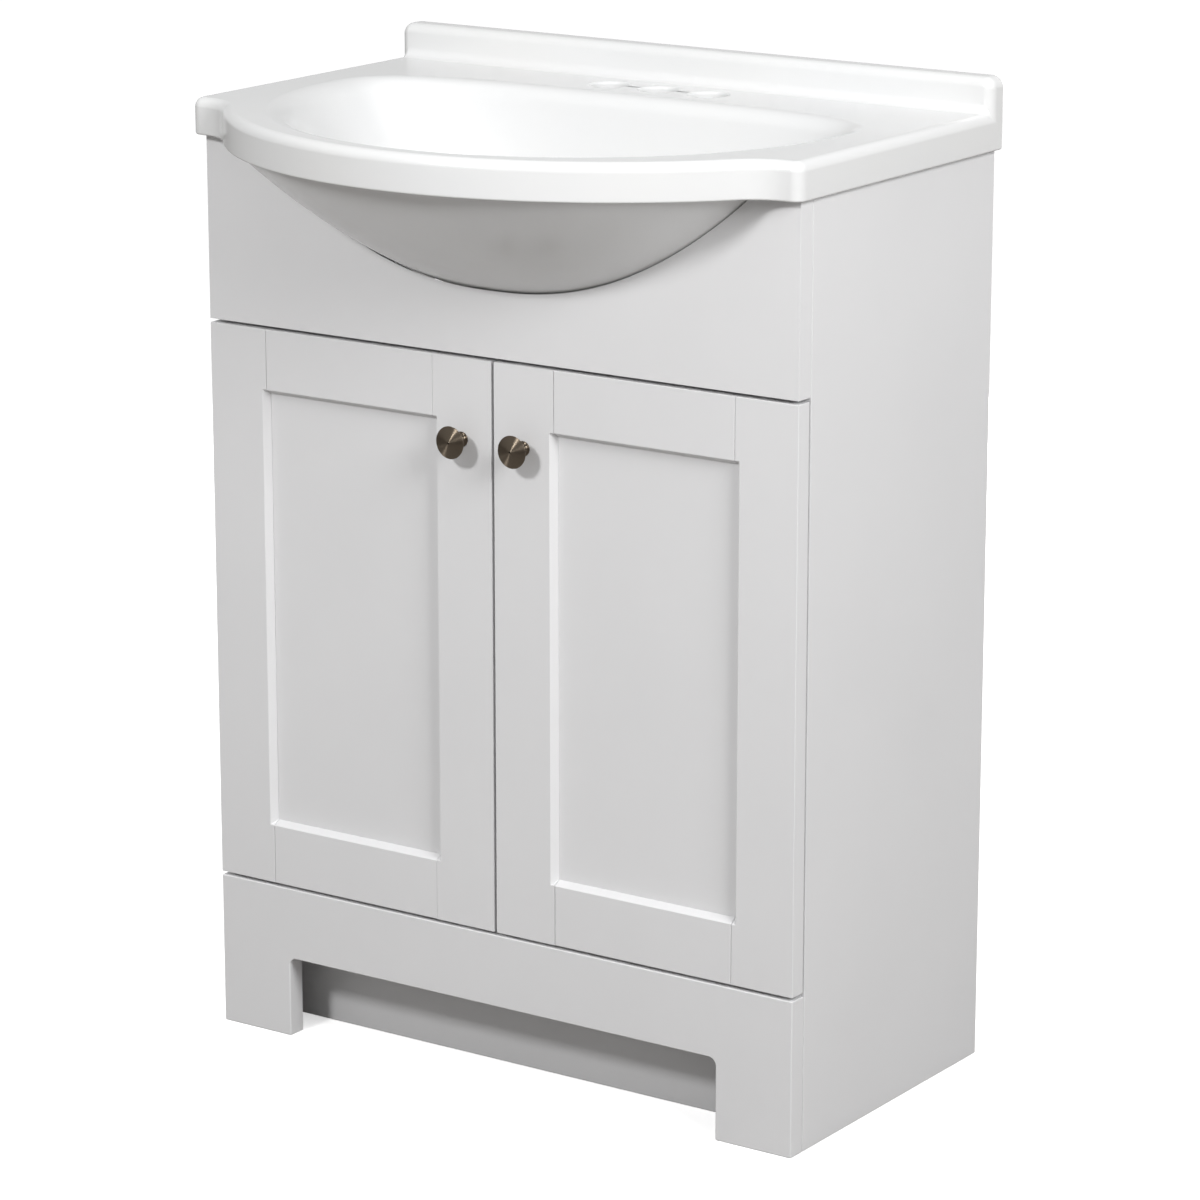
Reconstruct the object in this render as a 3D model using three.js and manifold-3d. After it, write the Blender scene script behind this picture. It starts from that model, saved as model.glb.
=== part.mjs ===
// Bathroom vanity cabinet: a painted two-door cabinet under a one-piece cast top with a belly bowl.
// Millimetres, +Z up, the front faces -Y. The origin is on the floor, at the centre of the overall box.

import * as THREE from 'three';
import { mergeVertices } from 'three/addons/utils/BufferGeometryUtils.js';
import Module from 'manifold-3d';

const wasm = await Module();
wasm.setup();

// ---------------------------------------------------------------- driving dimensions

const CABINET_WIDTH = 597;
const CABINET_HEIGHT = 800;
const CABINET_DEPTH = 305;
const TOP_WIDTH = 610;
const TOP_DEPTH = 457;

const BOARD = 16;               // carcass boards and doors
const FACE_BOARD = 18;          // fascia and front skirt
const SEAT = 0.3;               // clearance where two pieces meet
const BACK_Y = TOP_DEPTH / 2;
const FRONT_Y = BACK_Y - CABINET_DEPTH;         // outer plane of the fascia, doors and skirt
const CARCASS_Y = FRONT_Y + FACE_BOARD + 0.5;   // front edge of the side panels
const HALF = CABINET_WIDTH / 2;
const INNER = HALF - BOARD;                     // inner face of a side panel

const SKIRT_HEIGHT = 137;
const FEET_WIDTH = 74.5;
const SKIRT_ARCH = 72.5;
const ARCH_RADIUS = 7;
const TOE_RECESS = 54;
const FLOOR_TOP = 150;
const FRONT_RAIL_BOTTOM = 618;  // the doors close on its lower half
const FRONT_RAIL_HEIGHT = 58;
const BACK_RAIL_HEIGHT = 80;
const WALL_RAIL_HEIGHT = 90;    // the upper back rail, screwed to the wall
const FASCIA_BOTTOM = 639.5;
const DOOR_BOTTOM = 140;
const DOOR_TOP = 636.3;
const DOOR_GAP = 3;

const STILE = 60;
const RAIL = 57;
const PANEL_THICKNESS = 6;
const PANEL_RECESS = 7;
const STICKING = 3;             // width of the sloped edge round the recessed panel
const GROOVE = 8;

const TOP_EDGE = 32;            // depth of the top's edge
const DECK_THICKNESS = 19;
const EDGE_ROUND = 8;
const CORNER_RADIUS = 10;       // the top's front corners, seen from above
const BOW_RADIUS = 330;
const BOW_FILLET = 50;
const SHOULDER_Y = FRONT_Y - 12.5;              // front of the corners beside the bow
const SPLASH_THICKNESS = 18.5;
const SPLASH_HEIGHT = 30;
const SPLASH_EASE = 5;          // rounds along the splash: its top edge and the cove at its foot
const TOP_RIM = 25;             // solid rim left round the hollow underside
const BOWL_CENTRE_Y = FRONT_Y + 125;
const BASIN = { halfWidth: 250, front: 247, back: 75, depth: 150, roundness: 2.6 };
const BELLY = { halfWidth: 272, front: 265, back: 97, depth: 132, roundness: 2 };
const BELLY_SQUARENESS = 2.4;
const BASIN_BACK_SQUARENESS = 3.4;
const FASCIA_CLEARANCE = 1.5;
const DRAIN_RADIUS = 22;
const DRAIN_BOSS = 33;
const DRAIN_BOSS_DROP = 14;     // how far the boss reaches below the bowl
const FAUCET_SPACING = 50.8;
const FAUCET_HOLE = 17;
const FAUCET_Y = FRONT_Y + 247;

const KNOB_Z = 567;
const KNOB_RADIUS = 14.5;
const KNOB_PROJECTION = 21;
const KNOB_BORE_DEPTH = 10;
const KNOB_SCREW_RADIUS = 2;
const KNOB_SCREW_HOLE = 2.6;
const BUMPER_INSET = 14;        // from the door's free edge
const BUMPER_HEIGHTS = { top: 626, bottom: 145 };
const HINGE_HEIGHTS = [230, 546];
const CUP_RADIUS = 17.5;
const CUP_DEPTH = 12.5;
const CUP_EDGE = 4;             // wood left between the cup and the door's edge
const PLATE_SETBACK = 37;       // from the side panel's front edge to the plate's screws
const PLATE_SCREW_OFFSET = 16;
const PILOT_RADIUS = 2.4;
const PILOT_DEPTH = 12;
const SMALL_SIDES = 10;         // facets of screws, their holes and the bumpers
const ROUND_SIDES = 20;         // facets of cups and knobs

// ---------------------------------------------------------------- finishes

const finish = (color, roughness, metalness = 0) => ({ color, roughness, metalness });
const PAINT = finish(0xdadadb, 0.5);
const RAW_BOARD = finish(0xe6e5e3, 0.6);
const GEL_COAT = finish(0xf6f6f6, 0.15);
const NICKEL = finish(0x8d8377, 0.3, 1);
const PLATED_STEEL = finish(0xb9bbbd, 0.35, 1);
const SOFT_PLASTIC = finish(0xe9e9ea, 0.4);

// ---------------------------------------------------------------- solids

const vanity = new THREE.Group();

// a closed three.js geometry as a solid that can be joined and cut
function solid(geometry) {
  const bare = geometry.clone();
  bare.deleteAttribute('normal');
  bare.deleteAttribute('uv');
  const merged = mergeVertices(bare, 1e-3);
  const corners = merged.index.array;
  const triangles = [];
  for (let i = 0; i < corners.length; i += 3) {
    const [a, b, c] = corners.slice(i, i + 3);
    if (a !== b && b !== c && c !== a) triangles.push(a, b, c);
  }
  return new wasm.Manifold(new wasm.Mesh({
    numProp: 3,
    vertProperties: new Float32Array(merged.attributes.position.array),
    triVerts: new Uint32Array(triangles),
  }));
}

function addPiece(name, shape, material) {
  const mesh = shape.getMesh();
  const geometry = new THREE.BufferGeometry();
  const positions = new Float32Array(mesh.vertProperties);
  geometry.setAttribute('position', new THREE.BufferAttribute(positions, 3));
  geometry.setIndex(new THREE.BufferAttribute(new Uint32Array(mesh.triVerts), 1));
  geometry.computeVertexNormals();
  const piece = new THREE.Mesh(geometry, new THREE.MeshStandardMaterial(material));
  piece.name = name;
  vanity.add(piece);
}

// a block between two opposite corners
function block(x0, x1, y0, y1, z0, z1) {
  const geometry = new THREE.BoxGeometry(Math.abs(x1 - x0), Math.abs(y1 - y0), Math.abs(z1 - z0));
  geometry.translate((x0 + x1) / 2, (y0 + y1) / 2, (z0 + z1) / 2);
  return solid(geometry);
}

// a round bar along z from z0 to z1
function barZ(x, y, z0, z1, radius, sides = 16) {
  const geometry = new THREE.CylinderGeometry(radius, radius, z1 - z0, sides);
  geometry.rotateX(Math.PI / 2);
  geometry.translate(x, y, (z0 + z1) / 2);
  return solid(geometry);
}

// the same outline as straight pieces, without the doubled points where its arcs meet
function straightened(outline, arcSegments) {
  const points = outline.getPoints(arcSegments);
  const kept = points.filter((p, i) => p.distanceTo(points[(i + 1) % points.length]) > 0.01);
  return new THREE.Shape(kept);
}

// an outline in the x-y plane raised from z0 to z1
function raised(outline, z0, z1) {
  const geometry = new THREE.ExtrudeGeometry(outline, { depth: z1 - z0, bevelEnabled: false });
  geometry.translate(0, 0, z0);
  return solid(geometry);
}

// an outline in the x-z plane pushed back from y0 to y1
function pushedBack(outline, y0, y1) {
  const geometry = new THREE.ExtrudeGeometry(outline, { depth: y1 - y0, bevelEnabled: false });
  geometry.rotateX(Math.PI / 2);
  geometry.translate(0, y1, 0);
  return solid(geometry);
}

// [radius, height] points turned about an axis that leaves (x, y, z) towards +direction of the named axis
function turned(profile, sides, [x, y, z], towards) {
  const geometry = new THREE.LatheGeometry(profile.map(([r, h]) => new THREE.Vector2(r, h)), sides);
  const turn = { '+y': 0, '-y': Math.PI, '+x': -Math.PI / 2, '-x': Math.PI / 2 };
  geometry.rotateZ(turn[towards]);
  geometry.translate(x, y, z);
  return solid(geometry);
}

const unite = (first, ...rest) => rest.reduce((whole, part) => whole.add(part), first);
const cutFrom = (whole, ...cuts) => cuts.reduce((left, cut) => left.subtract(cut), whole);

// ---------------------------------------------------------------- cast top

// The bow is an arc that sweeps out to the shoulders beside it in wide concave fillets.
function topOutline() {
  const halfTop = TOP_WIDTH / 2;
  const corner = CORNER_RADIUS;
  const bowY = -BACK_Y + BOW_RADIUS;
  const filletY = SHOULDER_Y - BOW_FILLET;
  const filletX = Math.sqrt((BOW_RADIUS + BOW_FILLET) ** 2 - (filletY - bowY) ** 2);
  const meet = Math.atan2(filletY - bowY, filletX);
  const outline = new THREE.Shape();
  outline.moveTo(-halfTop, BACK_Y);
  outline.lineTo(-halfTop, SHOULDER_Y + corner);
  outline.absarc(-halfTop + corner, SHOULDER_Y + corner, corner, Math.PI, Math.PI * 1.5, false);
  outline.absarc(-filletX, filletY, BOW_FILLET, Math.PI / 2, -meet, true);
  outline.absarc(0, bowY, BOW_RADIUS, Math.PI - meet, Math.PI * 2 + meet, false);
  outline.absarc(filletX, filletY, BOW_FILLET, Math.PI + meet, Math.PI / 2, true);
  outline.absarc(halfTop - corner, SHOULDER_Y + corner, corner, Math.PI * 1.5, Math.PI * 2, false);
  outline.lineTo(halfTop, BACK_Y);
  return outline;
}

// A bowl-shaped solid under the level z = rim. Its outline is a superellipse with a different reach to
// the front and to the back, and its depth falls off with a power of the distance from the centre.
function bowl(size, rim, squareFront, squareBack, above, grow = 0) {
  const SIDES = 60;
  const RINGS = [0.2, 0.38, 0.54, 0.68, 0.8, 0.9, 0.96, 1];
  const depth = size.depth + grow;
  const points = [0, BOWL_CENTRE_Y, rim - depth];
  for (const scale of [...RINGS, 1]) {
    const raisedRing = points.length / 3 > RINGS.length * SIDES;
    for (let i = 0; i < SIDES; i++) {
      const angle = (i / SIDES) * Math.PI * 2;
      const [c, s] = [Math.cos(angle), Math.sin(angle)];
      const power = 2 / (s < 0 ? squareFront : squareBack);
      const reach = (s < 0 ? size.front : size.back) + grow;
      points.push(
        scale * (size.halfWidth + grow) * Math.sign(c) * Math.abs(c) ** power,
        BOWL_CENTRE_Y + scale * reach * Math.sign(s) * Math.abs(s) ** power,
        raisedRing ? rim + above : rim - depth * (1 - scale ** size.roundness),
      );
    }
  }
  points.push(0, BOWL_CENTRE_Y, rim + above);
  const ring = (r, i) => 1 + r * SIDES + (i % SIDES);
  const last = points.length / 3 - 1;
  const triangles = [];
  for (let i = 0; i < SIDES; i++) {
    triangles.push(0, ring(0, i + 1), ring(0, i));
    for (let r = 0; r < RINGS.length; r++) {
      triangles.push(ring(r, i), ring(r, i + 1), ring(r + 1, i + 1));
      triangles.push(ring(r, i), ring(r + 1, i + 1), ring(r + 1, i));
    }
    triangles.push(ring(RINGS.length, i), ring(RINGS.length, i + 1), last);
  }
  const geometry = new THREE.BufferGeometry();
  geometry.setAttribute('position', new THREE.BufferAttribute(new Float32Array(points), 3));
  geometry.setIndex(triangles);
  return solid(geometry);
}

const DECK_UNDERSIDE = CABINET_HEIGHT + TOP_EDGE - DECK_THICKNESS;
const bellyAbove = DECK_UNDERSIDE - CABINET_HEIGHT + 3;
const belly = (grow) => bowl(BELLY, CABINET_HEIGHT, BELLY_SQUARENESS, BELLY_SQUARENESS, bellyAbove, grow);

function vanityTop() {
  const topZ = CABINET_HEIGHT + TOP_EDGE;
  const rounded = new THREE.ExtrudeGeometry(straightened(topOutline(), 14), {
    depth: TOP_EDGE,
    bevelThickness: EDGE_ROUND,
    bevelSize: EDGE_ROUND,
    bevelOffset: -EDGE_ROUND,
    bevelSegments: 3,
  });
  rounded.translate(0, 0, CABINET_HEIGHT - EDGE_ROUND);
  const wide = TOP_WIDTH;
  const slab = solid(rounded).intersect(block(-wide, wide, -wide, wide, CABINET_HEIGHT, topZ));

  const splashFront = BACK_Y - SPLASH_THICKNESS;
  const splashTop = topZ + SPLASH_HEIGHT;
  const ease = SPLASH_EASE;
  const profile = new THREE.Shape();
  profile.moveTo(BACK_Y, CABINET_HEIGHT);
  profile.lineTo(BACK_Y, splashTop);
  profile.lineTo(splashFront + ease, splashTop);
  profile.absarc(splashFront + ease, splashTop - ease, ease, Math.PI / 2, Math.PI, false);
  profile.absarc(splashFront - ease, topZ + ease, ease, 0, -Math.PI / 2, true);
  profile.lineTo(splashFront - ease, DECK_UNDERSIDE + ease);
  profile.lineTo(splashFront, CABINET_HEIGHT);
  const splashGeometry = new THREE.ExtrudeGeometry(straightened(profile, 4), {
    depth: TOP_WIDTH,
    bevelEnabled: false,
  });
  splashGeometry.rotateX(Math.PI / 2);
  splashGeometry.rotateZ(Math.PI / 2);
  splashGeometry.translate(-TOP_WIDTH / 2, 0, 0);
  const splash = solid(splashGeometry);

  const hollow = block(-TOP_WIDTH / 2 + TOP_RIM, TOP_WIDTH / 2 - TOP_RIM,
    CARCASS_Y + FACE_BOARD, BACK_Y - TOP_RIM, CABINET_HEIGHT - 1, DECK_UNDERSIDE);
  const bossBottom = CABINET_HEIGHT - BELLY.depth - DRAIN_BOSS_DROP;
  const basinFloor = topZ - BASIN.depth;
  const boss = barZ(0, BOWL_CENTRE_Y, bossBottom, basinFloor - 4, DRAIN_BOSS, 32);
  const basin = bowl(BASIN, topZ, 2, BASIN_BACK_SQUARENESS, 10);
  const drain = barZ(0, BOWL_CENTRE_Y, bossBottom - 5, topZ, DRAIN_RADIUS, 32);
  const faucetHoles = [-1, 0, 1].map((n) =>
    barZ(n * FAUCET_SPACING, FAUCET_Y, CABINET_HEIGHT - 5, topZ + 5, FAUCET_HOLE, 24));
  return cutFrom(unite(slab.subtract(hollow), splash, belly(0), boss), basin, drain, ...faucetHoles);
}

addPiece('vanity_top', vanityTop(), GEL_COAT);

// ---------------------------------------------------------------- cabinet boards

const outwards = { '-1': '-x', 1: '+x' };

for (const [side, name] of [[-1, 'left'], [1, 'right']]) {
  const panel = block(side * HALF, side * INNER, CARCASS_Y, BACK_Y, 0, CABINET_HEIGHT - SEAT);
  const pilotHoles = HINGE_HEIGHTS.flatMap((z) => [-1, 1].map((n) => turned(
    [[0, -1], [PILOT_RADIUS, -1], [PILOT_RADIUS, PILOT_DEPTH], [0, PILOT_DEPTH]], SMALL_SIDES,
    [side * INNER, CARCASS_Y + PLATE_SETBACK, z + n * PLATE_SCREW_OFFSET], outwards[side])));
  addPiece(`side_panel_${name}`, cutFrom(panel, ...pilotHoles), PAINT);
}

const boardEnd = INNER - SEAT;
const toeY = FRONT_Y + TOE_RECESS;
const carcassBoards = {
  floor_panel: [CARCASS_Y, BACK_Y, FLOOR_TOP - BOARD, FLOOR_TOP],
  toe_kick_board: [toeY, toeY + BOARD, 0, FLOOR_TOP - BOARD - SEAT],
  front_rail: [CARCASS_Y, CARCASS_Y + BOARD, FRONT_RAIL_BOTTOM, FRONT_RAIL_BOTTOM + FRONT_RAIL_HEIGHT],
  back_rail_top: [BACK_Y - BOARD, BACK_Y, CABINET_HEIGHT - WALL_RAIL_HEIGHT, CABINET_HEIGHT - SEAT],
  back_rail_bottom: [BACK_Y - BOARD, BACK_Y, FLOOR_TOP + SEAT, FLOOR_TOP + BACK_RAIL_HEIGHT],
};
for (const [name, span] of Object.entries(carcassBoards)) {
  addPiece(name, block(-boardEnd, boardEnd, ...span), name === 'toe_kick_board' ? PAINT : RAW_BOARD);
}

function skirtOutline() {
  const footEdge = HALF - FEET_WIDTH;
  const arcX = footEdge - ARCH_RADIUS;
  const arcZ = SKIRT_ARCH - ARCH_RADIUS;
  const outline = new THREE.Shape();
  outline.moveTo(-HALF, 0);
  outline.lineTo(-footEdge, 0);
  outline.absarc(-arcX, arcZ, ARCH_RADIUS, Math.PI, Math.PI / 2, true);
  outline.absarc(arcX, arcZ, ARCH_RADIUS, Math.PI / 2, 0, true);
  outline.lineTo(footEdge, 0);
  outline.lineTo(HALF, 0);
  outline.lineTo(HALF, SKIRT_HEIGHT);
  outline.lineTo(-HALF, SKIRT_HEIGHT);
  return outline;
}
const skirt = pushedBack(straightened(skirtOutline(), 4), FRONT_Y, FRONT_Y + FACE_BOARD);
addPiece('front_skirt', skirt, PAINT);

const fascia = block(-HALF, HALF, FRONT_Y, FRONT_Y + FACE_BOARD, FASCIA_BOTTOM, CABINET_HEIGHT - SEAT);
addPiece('fascia_panel', fascia.subtract(belly(FASCIA_CLEARANCE)), PAINT);

// ---------------------------------------------------------------- doors

// everything a door frame is cut away for: the recess with its sloped edge, the panel's groove and the
// opening at the back
function doorRecess(x0, x1, z0, z1) {
  const grooveFront = FRONT_Y + PANEL_RECESS;
  const grooveBack = grooveFront + PANEL_THICKNESS;
  const corners = [];
  for (const [y, widen] of [[FRONT_Y - STICKING, STICKING * 2], [grooveFront + 0.01, 0]]) {
    const [left, right, low, high] = [x0 - widen, x1 + widen, z0 - widen, z1 + widen];
    for (const [x, z] of [[left, low], [right, low], [right, high], [left, high]]) {
      corners.push(new THREE.Vector3(x, y, z));
    }
  }
  const geometry = new THREE.BufferGeometry().setFromPoints(corners);
  geometry.setIndex([
    0, 1, 2, 0, 2, 3, 4, 6, 5, 4, 7, 6,
    0, 5, 1, 0, 4, 5, 1, 6, 2, 1, 5, 6,
    2, 7, 3, 2, 6, 7, 3, 4, 0, 3, 7, 4,
  ]);
  const recess = solid(geometry);
  const deep = GROOVE + SEAT;
  const groove = block(x0 - deep, x1 + deep, grooveFront, grooveBack + SEAT, z0 - deep, z1 + deep);
  const back = block(x0, x1, grooveBack, FRONT_Y + BOARD + 1, z0, z1);
  return unite(recess, groove, back);
}

const doorBackY = FRONT_Y + BOARD;

for (const [side, name] of [[-1, 'left'], [1, 'right']]) {
  const outer = side * HALF;
  const inner = (side * DOOR_GAP) / 2;
  const [x0, x1] = [outer - side * STILE, inner + side * STILE].sort((a, b) => a - b);
  const [z0, z1] = [DOOR_BOTTOM + RAIL, DOOR_TOP - RAIL];
  const recess = doorRecess(x0, x1, z0, z1);
  const member = (a, b, low, high) => block(a, b, FRONT_Y, doorBackY, low, high).subtract(recess);

  const knobX = inner + (side * STILE) / 2;
  const screwHole = turned([[0, 0], [KNOB_SCREW_HOLE, 0], [KNOB_SCREW_HOLE, 30], [0, 30]],
    SMALL_SIDES, [knobX, doorBackY + 5, KNOB_Z], '-y');
  const cupX = outer - side * (CUP_EDGE + CUP_RADIUS);
  const cupPockets = HINGE_HEIGHTS.map((z) => turned(
    [[0, -1], [CUP_RADIUS + SEAT, -1], [CUP_RADIUS + SEAT, CUP_DEPTH + SEAT], [0, CUP_DEPTH + SEAT]],
    ROUND_SIDES, [cupX, doorBackY, z], '-y'));

  addPiece(`door_${name}_outer_stile`,
    cutFrom(member(outer, outer - side * STILE, DOOR_BOTTOM, DOOR_TOP), ...cupPockets), PAINT);
  addPiece(`door_${name}_inner_stile`,
    member(inner, inner + side * STILE, DOOR_BOTTOM, DOOR_TOP).subtract(screwHole), PAINT);
  addPiece(`door_${name}_top_rail`, member(x0 + SEAT, x1 - SEAT, z1, DOOR_TOP), PAINT);
  addPiece(`door_${name}_bottom_rail`, member(x0 + SEAT, x1 - SEAT, DOOR_BOTTOM, z0), PAINT);
  const panelY = FRONT_Y + PANEL_RECESS + SEAT / 2;
  addPiece(`door_${name}_panel`,
    block(x0 - GROOVE, x1 + GROOVE, panelY, panelY + PANEL_THICKNESS, z0 - GROOVE, z1 + GROOVE), PAINT);

  // mushroom knob with a shallow coned face and a tapped hole up its neck
  const bore = KNOB_SCREW_RADIUS + 0.25;
  const knob = turned([
    [bore, 0], [6.5, 0], [6.5, 1.2], [5, 2.8], [4.6, 5.5], [5.2, 9], [8.5, 12.6], [13, 15.6],
    [KNOB_RADIUS, 16.7], [KNOB_RADIUS, 18], [KNOB_RADIUS - 0.6, 18.8], [0, KNOB_PROJECTION],
    [0, KNOB_BORE_DEPTH], [bore, KNOB_BORE_DEPTH], [bore, 0],
  ], ROUND_SIDES, [knobX, FRONT_Y - SEAT, KNOB_Z], '-y');
  addPiece(`knob_${name}`, knob, NICKEL);
  const screwLength = BOARD + 9;
  const screw = turned([
    [0, -2], [3, -2], [4.2, -1.2], [4.2, 0], [KNOB_SCREW_RADIUS, 0],
    [KNOB_SCREW_RADIUS, screwLength], [0, screwLength],
  ], SMALL_SIDES, [knobX, doorBackY + SEAT, KNOB_Z], '-y');
  addPiece(`knob_${name}_screw`, screw, PLATED_STEEL);

  // clear stick-on bumpers near the free edge, closing on the stretcher and on the cabinet floor
  const bumperX = inner + side * BUMPER_INSET;
  const reach = CARCASS_Y - doorBackY - 2 * SEAT;
  for (const [place, z] of Object.entries(BUMPER_HEIGHTS)) {
    const bumper = turned([[0, 0], [4, 0], [4, reach * 0.5], [2.6, reach], [0, reach]],
      SMALL_SIDES, [bumperX, doorBackY + SEAT, z], '+y');
    addPiece(`door_${name}_${place}_bumper`, bumper, SOFT_PLASTIC);
  }
}

// ---------------------------------------------------------------- concealed hinges

// All hinge shapes are drawn with x measured inwards from the door's outer edge and y measured from the
// door's back face, for either side.
const LINK_PIVOT = { x: 34, y: -1.5 };      // pin in the nose of the arm
const CUP_PIVOT = { x: 6.4, y: -6.7 };      // pin across the cup

function hinge(side, name, place, z) {
  const at = (x) => side * (HALF - x);
  const away = (y) => doorBackY + y;
  const plan = (points) => new THREE.Shape(points.map(([x, y]) => new THREE.Vector2(at(x), away(y))));
  const tag = `hinge_${name}_${place}`;
  const gap = CARCASS_Y - doorBackY;

  // cup pressed into the door, with a flange on the door's back and a pin across its mouth
  const wall = 1;
  const cupX = CUP_EDGE + CUP_RADIUS;
  const flangeTop = 1.2;
  const cup = turned([
    [0, -flangeTop], [CUP_RADIUS, -flangeTop], [CUP_RADIUS, CUP_DEPTH - 2], [CUP_RADIUS - 2, CUP_DEPTH],
    [0, CUP_DEPTH],
  ], ROUND_SIDES, [at(cupX), doorBackY, z], '-y');
  const cupHollow = turned([
    [0, -flangeTop - 3], [CUP_RADIUS - wall, -flangeTop - 3], [CUP_RADIUS - wall, CUP_DEPTH - 3],
    [CUP_RADIUS - 3, CUP_DEPTH - wall], [0, CUP_DEPTH - wall],
  ], ROUND_SIDES, [at(cupX), doorBackY, z], '-y');
  const flange = block(at(cupX - 5), at(cupX + 9), away(SEAT), away(flangeTop), z - 31, z + 31);
  const screwHoles = [-1, 1].map((n) => turned([[0, -5], [2.2, -5], [2.2, 5], [0, 5]],
    SMALL_SIDES, [at(cupX + 3), doorBackY, z + n * 24], '-y'));
  const [notchLow, notchHigh] = [z - 5.2, z + 5.2];
  const linkNotch = block(at(CUP_EDGE - 0.5), at(CUP_EDGE + 2.4), away(-4.2), away(3), notchLow, notchHigh);
  const cupPin = barZ(at(CUP_PIVOT.x), away(CUP_PIVOT.y), z - 9, z + 9, 1, SMALL_SIDES);
  const openCup = cutFrom(unite(cup, flange), cupHollow, linkNotch, ...screwHoles);
  addPiece(`${tag}_cup`, openCup.add(cupPin.intersect(cup)), PLATED_STEEL);

  // curved link that turns on the arm's pin and lies open against the cup's pin
  const link = raised(plan([
    [36.4, -2], [35.7, 0.2], [34, 0.9], [32.3, 0.2], [31.2, -2.2], [28, -4.9], [21.5, -7.4], [14, -8.3],
    [6.9, -8.4], [6.9, -9.5], [14, -10], [22.5, -9.2], [29.5, -6.6], [34, -4.2],
  ]), z - 4, z + 4);
  const linkEye = barZ(at(LINK_PIVOT.x), away(LINK_PIVOT.y), z - 6, z + 6, 1.5, SMALL_SIDES);
  addPiece(`${tag}_link`, link.subtract(linkEye), PLATED_STEEL);

  // cruciform plate screwed to the side panel
  const plateY = gap + PLATE_SETBACK;
  const plateX = BOARD + SEAT;
  const plateFace = plateX + 3;
  const plate = unite(
    block(at(plateX), at(plateFace), away(plateY - 6), away(plateY + 6), z - 24, z + 24),
    block(at(plateX), at(plateFace), away(plateY - 22), away(plateY + 22), z - 8, z + 8),
  );
  const screwHeights = { lower: z - PLATE_SCREW_OFFSET, upper: z + PLATE_SCREW_OFFSET };
  const plateHoles = Object.values(screwHeights).map((height) => turned(
    [[0, -8], [PILOT_RADIUS, -8], [PILOT_RADIUS, 8], [0, 8]], SMALL_SIDES,
    [at(plateX), away(plateY), height], outwards[side]));
  addPiece(`${tag}_plate`, cutFrom(plate, ...plateHoles), PLATED_STEEL);
  for (const [end, height] of Object.entries(screwHeights)) {
    const screw = turned(
      [[0, -2.2], [3, -2.2], [4.2, -0.8], [4.2, 0], [2, 0], [2, 11], [1, 13], [0, 13]],
      SMALL_SIDES, [at(plateFace + SEAT), away(plateY), height], outwards[side]);
    addPiece(`${tag}_${end}_screw`, screw, PLATED_STEEL);
  }

  // arm on the plate, narrowing to a forked nose that holds the link's pin
  const armX = plateFace + SEAT;
  const arm = raised(plan([
    [armX, plateY + 18], [armX, gap + 8], [armX + 5, gap + 2], [31, 0], [31.6, -2.6], [34, -4],
    [35.7, -2.6], [35.9, 1.6], [36, gap + 8], [32, gap + 16], [32, plateY + 14], [29, plateY + 18],
  ]), z - 7, z + 7);
  const fork = barZ(at(LINK_PIVOT.x), away(LINK_PIVOT.y), z - 4.6, z + 4.6, 8.5, ROUND_SIDES);
  const linkPin = barZ(at(LINK_PIVOT.x), away(LINK_PIVOT.y), z - 6.5, z + 6.5, 1.1, SMALL_SIDES);
  addPiece(`${tag}_arm`, arm.subtract(fork).add(linkPin), PLATED_STEEL);
}

for (const [side, name] of [[-1, 'left'], [1, 'right']]) {
  HINGE_HEIGHTS.forEach((z, i) => hinge(side, name, ['bottom', 'top'][i], z));
}

export default vanity;
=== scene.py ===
# Bathroom vanity cabinet: a painted two-door cabinet under a gloss cast top with a belly bowl.
# Metres, +Z up, the front faces -Y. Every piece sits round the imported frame, one section for each.

import math

import bmesh
import bpy
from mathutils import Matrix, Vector


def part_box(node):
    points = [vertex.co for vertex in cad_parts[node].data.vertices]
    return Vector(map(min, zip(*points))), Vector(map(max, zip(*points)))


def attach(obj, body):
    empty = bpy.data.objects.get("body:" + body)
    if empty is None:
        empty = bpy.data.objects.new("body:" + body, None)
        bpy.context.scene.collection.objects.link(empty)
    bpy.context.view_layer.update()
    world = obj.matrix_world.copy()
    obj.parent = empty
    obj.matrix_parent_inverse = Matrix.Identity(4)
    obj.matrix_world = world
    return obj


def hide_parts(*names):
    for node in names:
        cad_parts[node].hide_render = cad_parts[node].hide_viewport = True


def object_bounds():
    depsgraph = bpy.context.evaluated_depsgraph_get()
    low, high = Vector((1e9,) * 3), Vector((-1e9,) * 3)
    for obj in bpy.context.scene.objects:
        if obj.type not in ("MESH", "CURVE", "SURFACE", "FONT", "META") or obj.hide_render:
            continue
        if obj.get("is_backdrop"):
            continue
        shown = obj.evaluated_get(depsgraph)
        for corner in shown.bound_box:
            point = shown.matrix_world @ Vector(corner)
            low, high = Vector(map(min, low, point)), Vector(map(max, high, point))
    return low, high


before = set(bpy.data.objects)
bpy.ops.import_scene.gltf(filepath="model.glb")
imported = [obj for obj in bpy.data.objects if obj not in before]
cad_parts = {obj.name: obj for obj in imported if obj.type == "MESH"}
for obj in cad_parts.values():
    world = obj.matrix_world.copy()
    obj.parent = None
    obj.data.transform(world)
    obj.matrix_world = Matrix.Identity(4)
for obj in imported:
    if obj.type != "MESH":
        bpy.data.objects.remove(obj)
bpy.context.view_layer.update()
bpy.ops.object.select_all(action="DESELECT")


# ------------------------------------------------------------------------------ side panels
# The two sides are 16 mm fibreboard standing from the floor to the top, sprayed with satin paint.
# Their edges are sanded to a small round, and the back edges stay raw where they meet the wall.

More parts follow.
